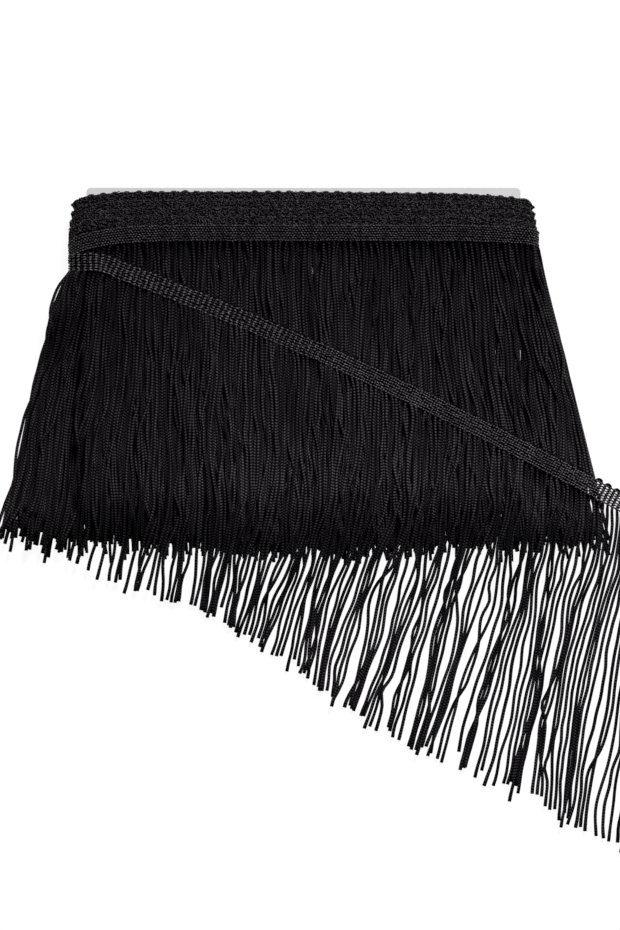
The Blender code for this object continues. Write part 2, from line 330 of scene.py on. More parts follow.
# ---- The wound turns' heading --------------------------------------
# Five turns of heading round the card, each over the last and a little lower, so their upper edges
# make steps. The heading won't bend sharply, so it stands out in a loop round each side of the card,
# and sags a little there. Stitches cover its face, and the cords loop over its upper edge.
ring_low, ring_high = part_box("wound_heading")
TURNS = 5
HEADING = 0.0085  # height of the heading
STEP_DOWN = 0.0042
RIB_PITCH = 0.00293
STRIP = 0.0007  # thickness of the ground under the stitches
YARN_REPEAT = 0.0012  # along a rib, a loop or a thread, from one lit place to the next
MIDDLE_Z = (card_low[2] + card_high[2]) / 2
CORE = (card_high[2] - card_low[2]) / 2 + 0.0003
LAYER = (ring_high[2] - MIDDLE_Z - CORE) / TURNS
EDGE_X = card_high[0]
FIRST_TOP = ring_high[1] - 0.0003
STAND_OUT = {  # how far each turn's loops stand out, left and right
    -1.0: (0.0051, 0.0061, 0.0072, 0.0077, 0.0080),
    1.0: (0.0043, 0.0057, 0.0065, 0.0069, 0.0080),
}
LOOP_SAG = 0.0030
RUN_RIGHT, RUN_LEFT = 0.0497, 0.0402  # where the last turn's middle runs along the back


def smooth_step(value):
    value = np.clip(value, 0.0, 1.0)
    return value * value * (3.0 - 2.0 * value)


def turn_level(x, turn):
    """How high up the card a turn's middle is. It sags towards the sides and in the side loops.

    The inner turns also slant down all along to the right, and the last one to the left.
    """
    out = np.where(x < 0.0, STAND_OUT[-1.0][turn], STAND_OUT[1.0][turn])
    sag = LOOP_SAG * (np.clip(np.abs(x) - EDGE_X, 0.0, None) / out) ** 2
    outer = turn / (TURNS - 1)
    left = 0.0022 * np.clip((-x - 0.076) / 0.0325, 0.0, None) ** 2.4
    right = (0.0021 - 0.0007 * outer) * np.clip((x - 0.066) / 0.0425, 0.0, None) ** 2.2
    slant = 0.0013 * (1.0 - outer) * np.clip(x / EDGE_X, 0.0, None)
    if turn == TURNS - 1:
        slant = 0.0022 * np.clip((-x - 0.055) / 0.055, 0.0, None) ** 2
    return FIRST_TOP - turn * STEP_DOWN - HEADING / 2 - left - right - slant - sag


def side_loop(side, out, low, high, steps=26):
    """X and Z of a loop round one side of the card, from back to front."""
    angle = np.linspace(0.0, math.pi, steps)
    return side * (EDGE_X + out * np.sin(angle)), (low + high - (high - low) * np.cos(angle)) / 2


def wound_line(turn):
    """The middle line of one turn, from the back's middle round the left side to the front."""
    depth = CORE + turn * LAYER
    half = np.linspace(0.0, EDGE_X, 80)
    left_x, left_z = side_loop(-1.0, STAND_OUT[-1.0][turn], -depth, depth)
    right_x, right_z = side_loop(1.0, STAND_OUT[1.0][turn], -depth, depth)
    right_x, right_z = right_x[::-1], right_z[::-1]
    front_x = np.concatenate([-half[::-1], half[1:]])
    front_z = np.full(front_x.size, depth)
    if turn < TURNS - 1:
        back_z = np.full(half.size, -depth)
        x = np.concatenate([-half, left_x, front_x, right_x, half[::-1]])
        y = turn_level(x, turn)
        z = np.concatenate([back_z, left_z, front_z, right_z, back_z])
    else:
        # The last turn starts at the left side. Past the right side it slants down along the back.
        run = np.linspace(EDGE_X, -EDGE_X, 160)
        top = turn_level(EDGE_X, turn)
        right_y = top + (RUN_RIGHT - top) * smooth_step(np.linspace(0.0, 1.0, right_x.size))
        run_y = np.interp(-run, (-EDGE_X, EDGE_X), (RUN_RIGHT, RUN_LEFT))
        x = np.concatenate([left_x, front_x, right_x, run])
        y = np.concatenate([turn_level(left_x, turn), turn_level(front_x, turn), right_y, run_y])
        z = np.concatenate([left_z, front_z, right_z, np.full(run.size, -depth)])
    line = np.stack([x, y, MIDDLE_Z + z], axis=1)
    moved = np.linalg.norm(np.diff(line, axis=0), axis=1) > 1e-7
    return line[np.concatenate([[True], moved])]


def unit(vectors):
    return vectors / np.linalg.norm(vectors, axis=-1, keepdims=True)


def averaged(values, width):
    """A running mean that keeps the ends."""
    padded = np.pad(values, width, mode="edge")
    return np.convolve(padded, np.ones(2 * width + 1) / (2 * width + 1), mode="valid")


def length_along(line):
    """How far along a line each of its points is."""
    return np.concatenate([[0.0], np.cumsum(np.linalg.norm(np.diff(line, axis=0), axis=1))])


def read_along(places, far, values):
    """Vectors that are given along a line, read at other places on it."""
    return np.stack([np.interp(places, far, values[:, k]) for k in range(3)], axis=-1)


def heading_route(line, pitch, across=(0.0, -1.0, 0.0)):
    """A heading's middle line with its directions: along it, towards the cords, and outwards."""
    far = length_along(line)
    ribs = int(round(far[-1] / pitch / 2)) * 2
    even = np.linspace(0.0, far[-1], ribs * 4 + 1)
    middle = read_along(even, far, line)
    across = read_along(even, far, np.broadcast_to(across, line.shape))
    along = unit(np.gradient(middle, axis=0))
    across = unit(across - (across * along).sum(1, keepdims=True) * along)
    return {
        "far": even, "ribs": ribs, "pitch": far[-1] / ribs, "middle": middle, "along": along,
        "across": across, "out": np.cross(across, along),
    }


def on_heading(route, far, down=0.0, lift=0.0):
    """Places on a heading: along it, down from its middle line, and lifted off its inner face."""
    middle, along, across, out = (
        read_along(far, route["far"], route[name]) for name in ("middle", "along", "across", "out")
    )
    along, across, out = unit(along), unit(across), unit(out)
    place = middle + across * np.expand_dims(down, -1) + out * np.expand_dims(lift, -1)
    return place, along, across, out


def ground_strip(name, route, closed):
    """The heading's ground: a thin strip with a soft ridge at each rib."""
    far = np.linspace(0.0, route["far"][-1], 2 * route["ribs"] + 1)
    if closed:
        far = far[:-1]
    count = far.size
    ridge = np.where(np.arange(count) % 2 == 1, 1.0, 0.6)
    section = (
        (-0.5, 0.15), (-0.44, 1.0), (-0.16, 1.0), (0.16, 1.0), (0.44, 1.0), (0.5, 0.15),
        (0.16, 0.0), (-0.16, 0.0),
    )
    rings = []
    for side, thick in section:
        lift = thick * STRIP * (ridge if thick == 1.0 else 1.0)
        rings.append(on_heading(route, far, side * HEADING, lift)[0])
    size = len(section)
    faces = ring_quads(count, size, closed)
    if not closed:
        faces += [range(size)[::-1], range((count - 1) * size, count * size)]
    uvs = [((corner // size) * 0.5, (corner % size) / size) for face in faces for corner in face]
    return add_piece(name, shaded_ground_finish, np.stack(rings, axis=1).reshape(-1, 3), faces, uvs)


def bead_shape(round_steps):
    """A stitch of unit size, long in X: points, faces and UVs."""
    long_steps = 4
    points, rings = [(-1.0, 0.0, 0.0)], []
    for step in range(1, long_steps):
        angle = math.pi * step / long_steps
        wide = math.sin(angle) ** 0.6
        rings.append(range(len(points), len(points) + round_steps))
        for k in range(round_steps):
            turn = 2 * math.pi * k / round_steps
            points.append((-math.cos(angle), wide * math.cos(turn), wide * math.sin(turn)))
    last = len(points)
    points.append((1.0, 0.0, 0.0))
    faces, uvs = [], []
    for k in range(round_steps):
        after = (k + 1) % round_steps
        u0, u1 = k / round_steps, (k + 1) / round_steps
        faces.append((0, rings[0][after], rings[0][k]))
        uvs += [((u0 + u1) / 2, 0.0), (u1, 1 / long_steps), (u0, 1 / long_steps)]
        for number, (near, beyond) in enumerate(zip(rings, rings[1:])):
            v0, v1 = (number + 1) / long_steps, (number + 2) / long_steps
            faces.append((near[k], near[after], beyond[after], beyond[k]))
            uvs += [(u0, v0), (u1, v0), (u1, v1), (u0, v1)]
        faces.append((rings[-1][k], rings[-1][after], last))
        uvs += [(u0, 1 - 1 / long_steps), (u1, 1 - 1 / long_steps), ((u0 + u1) / 2, 1.0)]
    return np.array(points), faces, uvs


def scattered(shape, centres, axis_x, axis_y, axis_z):
    """Copies of a unit shape, each with its own centre and scaled axes."""
    points, faces, uvs = shape
    placed = (
        centres[:, None, :]
        + points[None, :, 0:1] * axis_x[:, None, :]
        + points[None, :, 1:2] * axis_y[:, None, :]
        + points[None, :, 2:3] * axis_z[:, None, :]
    )
    all_faces = []
    for copy in range(len(centres)):
        start = copy * len(points)
        all_faces += [tuple(start + k for k in face) for face in faces]
    return placed.reshape(-1, 3), all_faces, uvs * len(centres)


def tubes(centres, wide, high, sides, above, stitch, begin=0.0, twist=0.0):
    """Closed tubes along rows of points: their half width and height, and which way is above.

    The UVs go round once and along once for each stitch's length. They may begin anywhere, and turn
    round by the twist with each stitch.
    """
    count, steps = centres.shape[:2]
    along = unit(np.gradient(centres, axis=1))
    aside = unit(np.cross(along, above))
    above = np.cross(aside, along)
    turn = 2 * math.pi * np.arange(sides) / sides
    ring = (
        (aside * np.expand_dims(wide, -1))[:, :, None, :] * np.cos(turn)[:, None]
        + (above * np.expand_dims(high, -1))[:, :, None, :] * np.sin(turn)[:, None]
    )
    points = centres[:, :, None, :] + ring
    step = np.arange(steps - 1)[:, None] * sides
    side = np.arange(sides)[None, :]
    after = (side + 1) % sides
    quads = np.stack(
        [step + side, step + sides + side, step + sides + after, step + after], axis=-1
    ).reshape(-1, 4)
    starts = np.arange(count) * steps * sides
    faces = (quads[None] + starts[:, None, None]).reshape(-1, 4).tolist()
    for first in starts.tolist():
        last = first + (steps - 1) * sides
        faces += [range(first, first + sides), range(last, last + sides)[::-1]]
    far = np.cumsum(np.linalg.norm(np.diff(centres, axis=1), axis=2), axis=1)
    far = np.concatenate([np.zeros((count, 1)), far], axis=1) / stitch + np.reshape(begin, (-1, 1))
    near = np.repeat(far[:, :-1], sides, axis=1)
    beyond = np.repeat(far[:, 1:], sides, axis=1)
    here = np.tile(np.arange(sides) / sides, (count, steps - 1))
    there = here + 1 / sides
    twist = np.reshape(twist, (-1, 1))
    corners = (
        (here + near * twist, near), (here + beyond * twist, beyond),
        (there + beyond * twist, beyond), (there + near * twist, near),
    )
    quad_uvs = np.stack([np.stack(pair, axis=-1) for pair in corners], axis=2).reshape(-1, 2)
    cap_round = np.tile(np.arange(sides) / sides, 2 * count)
    cap_uvs = np.stack([cap_round, np.zeros(cap_round.size)], axis=-1)
    return points.reshape(-1, 3), faces, np.concatenate([quad_uvs, cap_uvs])


def joined(*shapes):
    """Several sets of points, faces and UVs as one."""
    points, faces, uvs, start = [], [], [], 0
    for some_points, some_faces, some_uvs in shapes:
        points.append(some_points)
        faces += [tuple(start + k for k in face) for face in some_faces]
        uvs.append(np.reshape(some_uvs, (-1, 2)))
        start += len(some_points)
    return np.concatenate(points), faces, np.concatenate(uvs)


def stitch_beads(route, far, down, lift, tilt, long, wide, high, sides):
    """Stitches as beads on a heading, each turned by its tilt."""
    place, along, across, out = on_heading(route, far, down, lift)
    cos, sin = np.cos(tilt)[:, None], np.sin(tilt)[:, None]
    return scattered(
        bead_shape(sides),
        place,
        (along * cos + across * sin) * np.reshape(long, (-1, 1)),
        (across * cos - along * sin) * np.reshape(wide, (-1, 1)),
        out * np.reshape(high, (-1, 1)),
    )


def edge_loops(route, rise, thick, ragged):
    """The cords' loops over the upper edge, one to each pair of ribs."""
    pairs = np.arange(0, route["ribs"] - 1, 2)
    middle = (pairs + 1.0) * route["pitch"] + ragged * rng.normal(0.0, 0.0002, pairs.size)
    angle = np.linspace(0.0, math.pi, 8)
    far = middle[:, None] - np.cos(angle) * route["pitch"] * 0.5
    tall = rise * (1.0 + ragged * rng.normal(0.0, 0.15, pairs.size))
    down = -HEADING / 2 + 0.0006 - np.sin(angle) * tall[:, None]
    place, _, _, out = on_heading(route, far, down, STRIP * 0.7 + np.sin(angle) * ragged * 0.0001)
    return tubes(place, thick, thick, 6, out, YARN_REPEAT)


def on_the_front(route, far, row, back_rows):
    """Which places of a row are stitched: all on the front, and only some rows on the back."""
    return (on_heading(route, far)[0][:, 2] > MIDDLE_Z - 0.002) | (row < back_rows)


def tight_stitches(route, back_rows, rows):
    """Rows of stitches drawn tight: two to a rib, each row half a stitch on from the last."""
    shapes = []
    for row in range(rows):
        far = (np.arange(2 * route["ribs"] - 1) + 0.5 + 0.5 * (row % 2)) * route["pitch"] / 2
        slants = np.where(np.arange(far.size) % 2 == 0, 0.45, -0.25)
        seen = on_the_front(route, far, row, back_rows)
        far, slants = far[seen], slants[seen]
        count = far.size
        tilt = slants * (-1.0) ** row + rng.normal(0.0, 0.25, count)
        down = (row + 0.5) * HEADING / rows - HEADING / 2 + rng.normal(0.0, 0.00012, count)
        lift = STRIP + 0.00022 + rng.normal(0.0, 0.00006, count)
        size = 1.0 + rng.normal(0.0, 0.09, count)
        shapes.append(
            stitch_beads(route, far, down, lift, tilt, 0.00060 * size, 0.00037 * size, 0.00050, 6)
        )
    return shapes


def slack_stitches(route, back_rows, rows):
    """Slack stitches: short bent threads that lie at random and dive into the ground at both ends."""
    shapes = []
    along = np.linspace(-1.0, 1.0, 5)
    for row in range(rows):
        far = (np.arange(3 * route["ribs"]) + 0.5) * route["pitch"] / 3
        far = far[on_the_front(route, far, row, back_rows)][:, None]
        count = far.size
        far = far + rng.normal(0.0, 0.00035, (count, 1))
        down = (row + 0.5) * 0.00100 - HEADING / 2 + rng.normal(0.0, 0.00025, (count, 1))
        turn = rng.normal(0.0, 0.90, (count, 1))
        reach = rng.uniform(0.00060, 0.00090, (count, 1)) * along
        bow = rng.normal(0.0, 0.00030, (count, 1)) * (1.0 - along**2)
        lift = STRIP + 0.00045 + rng.normal(0.0, 0.00012, (count, 1)) - 0.00055 * along**2
        place, _, _, out = on_heading(
            route,
            far + reach * np.cos(turn) - bow * np.sin(turn),
            down + reach * np.sin(turn) + bow * np.cos(turn),
            lift,
        )
        thick = 0.00022 * (1.0 - 0.35 * along**4)
        shapes.append(tubes(place, thick, thick, 4, out, 0.0016))
    return shapes


wound_routes = [heading_route(wound_line(turn), RIB_PITCH) for turn in range(TURNS)]
for turn, route in enumerate(wound_routes):
    last = turn == TURNS - 1
    strip = ground_strip(f"turn_{turn + 1}_heading", route, not last)
    shapes = tight_stitches(route, 2, 7) if last else slack_stitches(route, 1, 5)
    rise, thick = (0.00075, 0.00050) if turn == 0 else (0.00025, 0.00022)
    shapes.append(edge_loops(route, rise, thick, 0.4 if last else 1.4))
    finish = stitch_finish if last else shaded_slack_finish
    stitches = add_piece(f"turn_{turn + 1}_stitches", finish, *joined(*shapes))
    for piece in (strip, stitches):
        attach(piece, "root")
        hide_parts("wound_heading")

# ---- The cords' yarn -----------------------------------------------
# The cords are fine chainette, a tube knitted from bright black rayon. Its stitches stand one over
# another in two columns, each half a stitch on from the other, with painted shade in the hollows
# between them. The tone is painted with shade that is deepest up at the heading, at the left side,
# and round the wound cords' tips.
# The knit's Shade output dims the colour in the hollows between stitches and columns, as painted
# shade.
knit, knit_in, knit_out = new_group(
    "chain knit", ("Along", "Round", "Columns"), ("Height", "Shade", "Roughness")
)
swing = maths(knit, "SINE", maths(knit, "MULTIPLY", knit_in.outputs["Along"], 2 * math.pi))
swung = maths(knit, "MULTIPLY_ADD", swing, 0.06, knit_in.outputs["Round"])
column = maths(knit, "MULTIPLY", swung, knit_in.outputs["Columns"])
odd_column = maths(knit, "FLOORED_MODULO", maths(knit, "FLOOR", column), 2.0)
stitch_on = maths(knit, "MULTIPLY_ADD", odd_column, 0.5, knit_in.outputs["Along"])
column_ridge = maths(knit, "MULTIPLY_ADD", ridges(knit, column), 0.9, 0.1)
bead = maths(knit, "MULTIPLY", ridges(knit, stitch_on), column_ridge)
connect(
    knit,
    (maths(knit, "POWER", bead, 0.6), knit_out.inputs["Height"]),
    (maths(knit, "POWER", bead, 1.7), knit_out.inputs["Shade"]),
    (maths(knit, "MULTIPLY_ADD", bead, -0.68, 0.96), knit_out.inputs["Roughness"]),
)

STITCH = 0.00148  # from one stitch of a cord to the next
cord_finish, cord_tree, cord_shade = yarn_finish(
    "black chainette", (0.055, 0.048, 0.0572), (0.125, 0.109, 0.130), 0.08, knit, {"Columns": 2.0},
    1.0, 0.00045,
)
cord_where = add_node(cord_tree, "ShaderNodeTexCoord")
cord_place = add_node(cord_tree, "ShaderNodeSeparateXYZ")
connect(cord_tree, (cord_where.outputs["Object"], cord_place.inputs["Vector"]))
# Painted shade: by place, the cords' tone is multiplied down towards the left side, up at the heading,
# round the wound cords' tips and on the free cords past them.
for axis, low, high, stops in (
    ("X", -0.15, 0.0, ((0.0, 0.64), (0.33, 0.65), (0.80, 1.0), (1.0, 1.0))),
    ("Y", -0.25, 0.05, (
        (0.0, 0.46), (0.46, 0.46), (0.485, 0.36), (0.51, 0.31), (0.53, 0.58), (0.56, 1.0),
        (0.60, 1.05), (0.68, 0.88), (0.78, 0.74), (0.88, 0.61), (0.95, 0.50), (1.0, 0.46),
    )),
):
    part = add_node(cord_tree, "ShaderNodeMapRange", {"From Min": low, "From Max": high})
    painted_shade_ramp = add_ramp(cord_tree, *((place, (tone, tone, tone)) for place, tone in stops))
    painted_shade_mix = add_node(
        cord_tree, "ShaderNodeMix", {"Factor": 1.0}, data_type="RGBA", blend_type="MULTIPLY"
    )
    connect(
        cord_tree,
        (cord_place.outputs[axis], part.inputs["Value"]),
        (part.outputs["Result"], painted_shade_ramp.inputs["Fac"]),
        (cord_shade.inputs["A"].links[0].from_socket, painted_shade_mix.inputs["A"]),
        (painted_shade_ramp.outputs["Color"], painted_shade_mix.inputs["B"]),
        (painted_shade_mix.outputs["Result"], cord_shade.inputs["A"]),
    )

# ---- The wound turns' cords ----------------------------------------
# A cord hangs from every rib. They are laid in the order in which they lie: those of the back from
# the surface up, then those of the front over the card. Each slips to the side into the valleys
# between the cords under it, and rises or falls no more steeply than limp yarn does.
CORD = 0.0016
CORD_LENGTH = 0.150
TOUCH = 0.00145  # middle to middle where one cord presses on another
APART = 0.0023  # how far apart the loose end's cords would lie
LEVEL = 0.0025
MOST_CORDS = 1400
levels = np.arange(0.070, -0.2801, -LEVEL)
pile_x = np.full((MOST_CORDS, levels.size), 9.0)  # a cord that isn't laid yet is far away
pile_z = np.zeros((MOST_CORDS, levels.size))
laid = 0
SLIPS = np.linspace(-0.0018, 0.0018, 13)
LOOSE_HEIGHT = 0.0098
LOOSE_OUT, LOOSE_LOW, LOOSE_HIGH = 0.0076, -0.0072, 0.0076

# At the left the loose end holds the side cords in, and at the right the last turn does. Above and
# below, the cords come out again at the slope that each hold gives.
LAST_DEPTH = CORE + (TURNS - 1) * LAYER
HOLDS = (
    {"side": -1.0, "level": RUN_LEFT, "height": LOOSE_HEIGHT, "out": LOOSE_OUT, "low": LOOSE_LOW,
     "high": LOOSE_HIGH, "turns": TURNS, "opens": 0.40},
    {"side": 1.0, "level": 0.0510, "height": HEADING, "out": STAND_OUT[1.0][-1],
     "low": -LAST_DEPTH, "high": LAST_DEPTH, "turns": TURNS - 1, "opens": 0.25},
)

sway_waves = [
    (share, 2 * math.pi / wide, 2 * math.pi / deep, rng.uniform(0, 6.28), rng.uniform(-0.2, 0.2))
    for share, wide, deep in (
        (0.0016, 0.120, 0.260), (0.0013, 0.061, -0.190), (0.0008, 0.034, 0.110),
        (0.0004, 0.019, -0.060),
    )
]


def sway(x, turn, depth):
    """How far neighbouring cords drift to the side together, as they go down."""
    total = 0.0
    for share, across, down, phase, per_turn in sway_waves:
        total = total + share * np.sin(across * x + down * depth + phase + per_turn * turn)
    return total * smooth_step(depth / 0.070)


WAVE_DEPTHS = np.linspace(0.0, 0.2, 121)


def own_wave(size, kinks=0.0):
    """The small waves of one cord, at the wave depths, and now and then a kink."""
    total = 0.0
    for length in (0.080, 0.050, 0.030, 0.018):
        total = total + rng.normal(0.0, 1.0) * length * np.sin(
            2 * math.pi * WAVE_DEPTHS / (length * rng.uniform(0.8, 1.25)) + rng.uniform(0, 6.28)
        )
    for _ in range(rng.poisson(kinks)):
        place = (WAVE_DEPTHS - rng.uniform(0.03, 0.14)) / 0.005
        total = total + rng.normal(0.0, 0.15) * np.exp(-place * place)
    return size * total / 0.080 * smooth_step(WAVE_DEPTHS / 0.008)


FANS = {  # a side loop's cords reach out from least to fullest; those of the front from a start on
    -1.0: {"least": 0.023, "fullest": 0.96, "start": 0.078, "width": 0.034, "bend": 0.84},
    1.0: {"least": 0.022, "fullest": 1.0, "start": 0.042, "width": 0.068, "bend": 0.96},
}


def fan_spread(root_x, depth):
    """How much of its reach a cord has fanned out by. Most of the fanning is near the heading."""
    return (np.clip(depth, 0.0, None) / CORD_LENGTH) ** FANS[math.copysign(1.0, root_x)]["bend"]


def fan_reach(root_x):
    """How far out a cord's tip lies from its root."""
    side = math.copysign(1.0, root_x)
    fan = FANS[side]
    past = (abs(root_x) - EDGE_X) / 0.009
    if past > 0.05:
        return side * (fan["least"] + 0.0205 * past) * rng.uniform(0.76, fan["fullest"])
    share = np.clip((abs(root_x) - fan["start"]) / fan["width"], 0.0, 1.0) ** 1.2
    return side * 0.031 * share * rng.uniform(0.85, 1.1)


def away_from(hold, y):
    """How far above or below a hold's heading each level is."""
    return np.maximum(np.abs(y - hold["level"]) - hold["height"] / 2, 0.0)


def held_in(x, y, turn):
    """A wound side cord is held in by the heading over it, and comes free above and below that."""
    for hold in HOLDS if turn < TURNS else ():
        limit = EDGE_X + hold["out"] + (-0.0009 if turn < hold["turns"] else 0.0009)
        x = hold["side"] * np.minimum(hold["side"] * x, limit + hold["opens"] * away_from(hold, y))
    return x


def within_hold(hold, x, y):
    """The space inside a side loop of heading: its lower and upper height at each place."""
    past = np.clip(hold["side"] * x - EDGE_X, 0.0, hold["out"])
    half = (hold["high"] - hold["low"]) / 2 * np.sqrt(1.0 - (past / hold["out"]) ** 2) - CORD / 2
    centre = MIDDLE_Z + (hold["high"] + hold["low"]) / 2
    room_left = np.where(hold["side"] * x > EDGE_X, away_from(hold, y) * 0.5, 1.0)
    return centre - half - room_left, centre + half + room_left


def floor_under(x, y, front, turn):
    """What lies under a cord apart from other cords: the surface, the card or a turn."""
    floor = np.full(x.shape, CORD / 2 + 0.0003)
    if front:
        on_card = (np.abs(x) < EDGE_X) & (y > card_low[1])
        floor = np.where(on_card, card_high[2] + CORD / 2, floor)
    elif turn < TURNS - 1:
        run = RUN_LEFT + (RUN_RIGHT - RUN_LEFT) * (x + EDGE_X) / (2 * EDGE_X)
        on_run = (np.abs(x) < EDGE_X) & (np.abs(y - run) < HEADING / 2 + 0.001)
        floor = np.where(on_run, MIDDLE_Z - LAST_DEPTH + CORD / 2 + 0.0002, floor)
    for hold in HOLDS:
        if turn < hold["turns"]:
            floor = np.maximum(floor, within_hold(hold, x, y)[0])
    return floor


def resting(x, here, floor, touch=TOUCH):
    """The height of a cord's middle line where it lies on the cords already laid."""
    if laid == 0:
        return floor
    gap = pile_x[:laid, here] - x
    rise = np.sqrt(np.clip(touch**2 - gap * gap, 0.0, None))
    return np.maximum(np.where(rise > 0.0, pile_z[:laid, here] + rise, 0.0).max(axis=0), floor)


slip_moves = 0.45 * (np.subtract.outer(SLIPS, SLIPS) * 1000) ** 2


def slipped(x, y, depth, here, front, turn):
    """A cord's places after it has slipped to where the pile is thin, without sharp bends."""
    efforts = []
    for slip in SLIPS:
        there = held_in(x + slip, y, turn)
        floor = floor_under(there, y, front, turn)
        efforts.append(resting(there, here, floor, TOUCH if turn < TURNS else APART) - floor)
    effort = np.stack(efforts)
    effort = np.clip((effort - effort.min(axis=0)) * 1000, 0.0, 1.3)
    tied = 0.10 + 4.0 * (1.0 - smooth_step(depth / 0.006))
    effort = effort + tied * (SLIPS[:, None] * 1000) ** 2
    total, came_from = effort[:, 0], []
    for k in range(1, y.size):
        ways = total[None, :] + slip_moves * (1.0 if turn < TURNS else 2.0)
        came_from.append(ways.argmin(axis=1))
        total = ways.min(axis=1) + effort[:, k]
    choice = [int(total.argmin())]
    for step in came_from[::-1]:
        choice.append(int(step[choice[-1]]))
    return held_in(x + averaged(SLIPS[choice[::-1]], 2), y, turn)


STEEPEST, STEEPEST_AT_TOP = 0.5, 0.36  # how far a cord falls for its length
TOP_FROM = 0.042  # the level where the top part, at the heading, starts


def lay_cord(root, side_path, front, turn):
    """Lay one cord from its root. Returns the points of its middle line, past its tip."""
    global laid
    first = int(np.searchsorted(-levels, -(root[1] - 0.0012)))
    here = slice(first, min(levels.size, first + int(CORD_LENGTH * 1.18 / LEVEL)))
    y = levels[here]
    depth = root[1] - y
    x = slipped(side_path(depth, y), y, depth, here, front, turn)
    rest = resting(x, here, floor_under(x, y, front, turn))
    if not front:
        under_card = (np.abs(x) < EDGE_X) & (y > card_low[1])
        rest = np.where(under_card, np.minimum(rest, card_low[2] - CORD / 2), rest)
    z = rest.copy()
    above = root[2]
    for k in range(z.size):
        fall = STEEPEST_AT_TOP if y[k] > TOP_FROM else STEEPEST
        above = z[k] = max(z[k], above - fall * (depth[0] if k == 0 else LEVEL))
    for k in range(z.size - 2, -1, -1):
        z[k] = max(z[k], z[k + 1] - STEEPEST * LEVEL)
    z = np.maximum(averaged(averaged(z, 1), 1), rest - 0.0002)
    for hold in HOLDS:
        if turn < hold["turns"]:
            z = np.minimum(z, within_hold(hold, x, y)[1])
    pile_x[laid, here] = x
    pile_z[laid, here] = z
    laid += 1
    return np.concatenate([[root], np.stack([x, y, z], axis=1)])


def cut_to(points, length, count):
    """A cord's points cut at a length and spaced evenly."""
    far = length_along(points)
    return read_along(np.linspace(0.0, min(length, far[-1]), count), far, points)


def cords_piece(name, paths, sides, full=1.0):
    """Cords along paths of one number of points, narrow at the root and blunt at the tip.

    Full is how thick they are for their kind.
    """
    centres = np.stack(paths)
    count, steps = centres.shape[:2]
    places = np.linspace(0.0, CORD_LENGTH, steps)
    radius = full * CORD / 2 * (0.72 + 0.28 * smooth_step(places / 0.004))
    radius[-2:] *= 1.08
    radius = np.broadcast_to(radius, (count, steps)) * rng.normal(1.0, 0.04, (count, 1))
    begin = rng.uniform(0.0, 60.0, count)
    twist = rng.uniform(-0.012, 0.012, count)
    above = np.array((0.0, 0.0, 1.0))
    shape = tubes(centres, radius, radius, sides, above, STITCH, begin, twist)
    return add_piece(name, cord_finish, *shape)


ROOT_INSET = 0.0015  # the cords leave the heading this far above its lower edge
LAST_ROOT = FIRST_TOP - (TURNS - 1) * STEP_DOWN - HEADING + ROOT_INSET


def wound_cord(root, turn):
    """Lay a wound turn's cord and give its length.

    The tips end nearly level. The inner turns' cords are longer, those under the last turn's slanting
    run at the back are drawn up, and those in the middle hang a little lower.
    """
    front = root[2] > MIDDLE_Z
    reach = fan_reach(root[0])
    lean = rng.normal(0.0, 0.010)
    if rng.random() < 0.06 and abs(root[0]) < 0.085:
        lean += rng.normal(0.0, 0.06)
    wave = own_wave(0.0005)

    def side_path(depth, y):
        x = root[0] + reach * fan_spread(root[0], depth) + sway(root[0], turn, depth)
        x = x + lean * depth + np.interp(depth, WAVE_DEPTHS, wave)
        return averaged(held_in(x, y, turn), 1)

    longer = 0.0042 + 0.85 * (TURNS - 1 - turn) * STEP_DOWN
    if turn == TURNS - 1 and not front:
        longer += 0.9 * min(0.0, root[1] - LAST_ROOT)
    longer += 0.0022 * max(0.0, 1.0 - (root[0] / 0.090) ** 2)
    path = lay_cord(root, side_path, front, turn)
    return path, CORD_LENGTH + longer + rng.normal(0.0, 0.0036)


waiting = []
for turn, route in enumerate(wound_routes):
    far = (np.arange(route["ribs"]) + 0.5 + rng.normal(0.0, 0.10, route["ribs"])) * route["pitch"]
    roots = on_heading(route, far, HEADING / 2 - ROOT_INSET, 0.0006)[0]
    for root in roots:
        over = root[2] > MIDDLE_Z
        waiting.append((int(over), turn if over else -turn, rng.random(), turn, root))
waiting.sort(key=lambda cord: cord[:3])
wound_paths = {(turn, over): [] for turn in range(TURNS) for over in (0, 1)}
for over, _, _, turn, root in waiting:
    wound_paths[turn, over].append(wound_cord(root, turn))
for (turn, over), cords in wound_paths.items():
    if not over:
        steps, sides = 31, 5
    else:
        steps, sides = (49, 8) if turn >= TURNS - 2 else (37, 6)
    paths = [cut_to(points, length, steps) for points, length in cords]
    piece = cords_piece(f"turn_{turn + 1}_cords_{('under', 'over')[over]}", paths, sides)
    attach(piece, "root")
    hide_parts("wound_fringe")

# ---- The loose end's heading ---------------------------------------
# The trim's end comes round the card's left side under the last turn, and is laid slanting down
# across the front and off to the right. Nothing is drawn tight here, so its make shows: cords up
# and down across it, and seven rows of chain stitch that bind them.
LOOSE_PITCH = 0.00275
LOOSE_END = 0.2062
LOOSE_ROWS = 7
ROW_PITCH = 0.00130


def loose_level(x):
    """The middle of the loose heading on its way across the front."""
    slant = -0.0011 - 0.440 * x - 0.33 * x * x
    start = smooth_step((x + EDGE_X) / 0.018)
    return RUN_LEFT + (slant - RUN_LEFT) * start


def pile_top(x, y):
    """The highest point of the cords near a place."""
    level = int(np.clip(math.floor((levels[0] - y) / LEVEL), 0, levels.size - 2))
    near = slice(level, level + 2)
    close = np.abs(pile_x[:laid, near] - x) < 0.0012
    return float(np.where(close, pile_z[:laid, near] + CORD / 2, 0.0).max())


